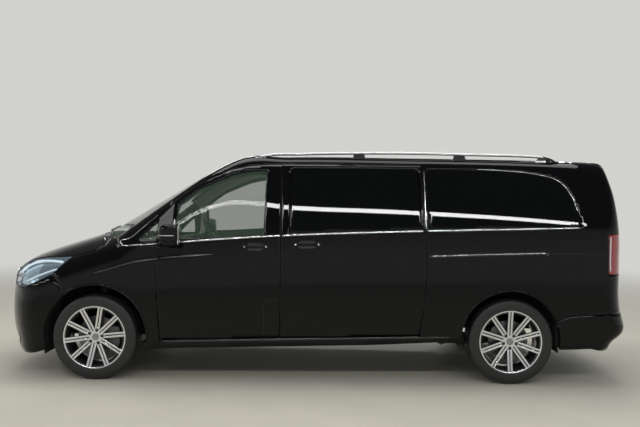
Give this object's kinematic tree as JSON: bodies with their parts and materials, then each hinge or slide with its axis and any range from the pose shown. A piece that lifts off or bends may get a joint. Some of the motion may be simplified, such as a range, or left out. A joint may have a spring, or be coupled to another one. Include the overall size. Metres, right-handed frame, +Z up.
{
  "type": "extra-long passenger van",
  "caption": "Long one-box family van with hinged front doors, fixed sliding side doors, lifting bonnet and tailgate, steered front wheels and seating for a family.",
  "frame": {"origin": "on the ground under the centre of the overall box", "axes": "+X rearwards along the van, +Y towards its right-hand side, +Z up"},
  "size_m": [5.3693, 2.24, 1.9189],
  "materials": {
    "body_paint": "gloss",
    "underbody": "matt",
    "black_trim": "gloss",
    "lamp_clear": "clear lens",
    "lamp_red": "clear red lens",
    "clear_glass": "light green tint",
    "dark_glass": "dark tint",
    "bright_metal": "polished",
    "cast_metal": "as cast",
    "steel": "matt black",
    "exhaust_steel": "dull",
    "cabin_plastic": "grained",
    "cabin_leather": "smooth",
    "seat_leather": "grained",
    "tyre": "matt",
    "wheel_alloy": "machined face on black",
    "disc_iron": "machined"
  },
  "bodies": {
    "body": {"floor_pan": "underbody", "underframe": "underbody", "bulkhead": "underbody", "wheel_housings": "underbody", "propshaft": "steel", "fuel_tank": "underbody", "front_bumper": "body_paint", "grille": "black_trim", "headlamps": "lamp_clear", "front_wings": "body_paint", "cowl_panel": "black_trim", "windscreen": "clear_glass", "roof_panel": "body_paint", "side_frame_left": "body_paint", "side_frame_right": "body_paint", "rear_quarter_left": "body_paint", "rear_quarter_right": "body_paint", "sliding_door_left": "body_paint", "sliding_door_right": "body_paint", "side_glass": "dark_glass", "rear_bumper": "body_paint", "tail_lamps": "lamp_red", "roof_rails": "bright_metal", "engine": "cast_metal", "front_suspension": "steel", "rear_suspension": "steel", "exhaust": "exhaust_steel", "dashboard": "cabin_plastic", "steering_wheel": "cabin_leather", "front_seats": "seat_leather", "rear_seats": "seat_leather"},
    "bonnet": {"bonnet": "body_paint"},
    "tailgate": {"tailgate": "body_paint", "tailgate_glass": "dark_glass"},
    "door_left": {"door_left": "body_paint", "door_glass_left": "clear_glass", "mirror_left": "body_paint"},
    "door_right": {"door_right": "body_paint", "door_glass_right": "clear_glass", "mirror_right": "body_paint"},
    "knuckle_left": {"knuckle_left": "cast_metal"},
    "knuckle_right": {"knuckle_right": "cast_metal"},
    "wheel_front_left": {"tyre_front_left": "tyre", "rim_front_left": "wheel_alloy", "disc_front_left": "disc_iron"},
    "wheel_front_right": {"tyre_front_right": "tyre", "rim_front_right": "wheel_alloy", "disc_front_right": "disc_iron"},
    "wheel_rear_left": {"tyre_rear_left": "tyre", "rim_rear_left": "wheel_alloy", "disc_rear_left": "disc_iron"},
    "wheel_rear_right": {"tyre_rear_right": "tyre", "rim_rear_right": "wheel_alloy", "disc_rear_right": "disc_iron"}
  },
  "joints": [
    {"name": "door_left_swing", "type": "hinge", "parent": "body", "child": "door_left", "pos_m": [-1.266, -0.956, 0.72], "axis": [0, 0, -1], "range_deg": [0, 65]},
    {"name": "door_right_swing", "type": "hinge", "parent": "body", "child": "door_right", "pos_m": [-1.266, 0.956, 0.72], "axis": [0, 0, 1], "range_deg": [0, 65]},
    {"name": "bonnet_lift", "type": "hinge", "parent": "body", "child": "bonnet", "pos_m": [-1.7, 0, 1.105], "axis": [0, 1, 0], "range_deg": [0, 45]},
    {"name": "tailgate_lift", "type": "hinge", "parent": "body", "child": "tailgate", "pos_m": [2.357, 0, 1.858], "axis": [0, -1, 0], "range_deg": [0, 85]},
    {"name": "steer_left", "type": "hinge", "parent": "body", "child": "knuckle_left", "pos_m": [-1.79, -0.765, 0.23], "axis": [0, 0.2572, 0.9664], "range_deg": [-35, 35]},
    {"name": "steer_right", "type": "hinge", "parent": "body", "child": "knuckle_right", "pos_m": [-1.79, 0.765, 0.23], "axis": [0, -0.2572, 0.9664], "range_deg": [-35, 35]},
    {"name": "roll_front_left", "type": "hinge", "parent": "knuckle_left", "child": "wheel_front_left", "pos_m": [-1.79, -0.833, 0.351], "axis": [0, 1, 0], "continuous": true},
    {"name": "roll_front_right", "type": "hinge", "parent": "knuckle_right", "child": "wheel_front_right", "pos_m": [-1.79, 0.833, 0.351], "axis": [0, 1, 0], "continuous": true},
    {"name": "roll_rear_left", "type": "hinge", "parent": "body", "child": "wheel_rear_left", "pos_m": [1.64, -0.823, 0.351], "axis": [0, 1, 0], "continuous": true},
    {"name": "roll_rear_right", "type": "hinge", "parent": "body", "child": "wheel_rear_right", "pos_m": [1.64, 0.823, 0.351], "axis": [0, 1, 0], "continuous": true}
  ],
  "couplings": [
    {"joint": "steer_right", "follows": "steer_left", "ratio": 1}
  ]
}
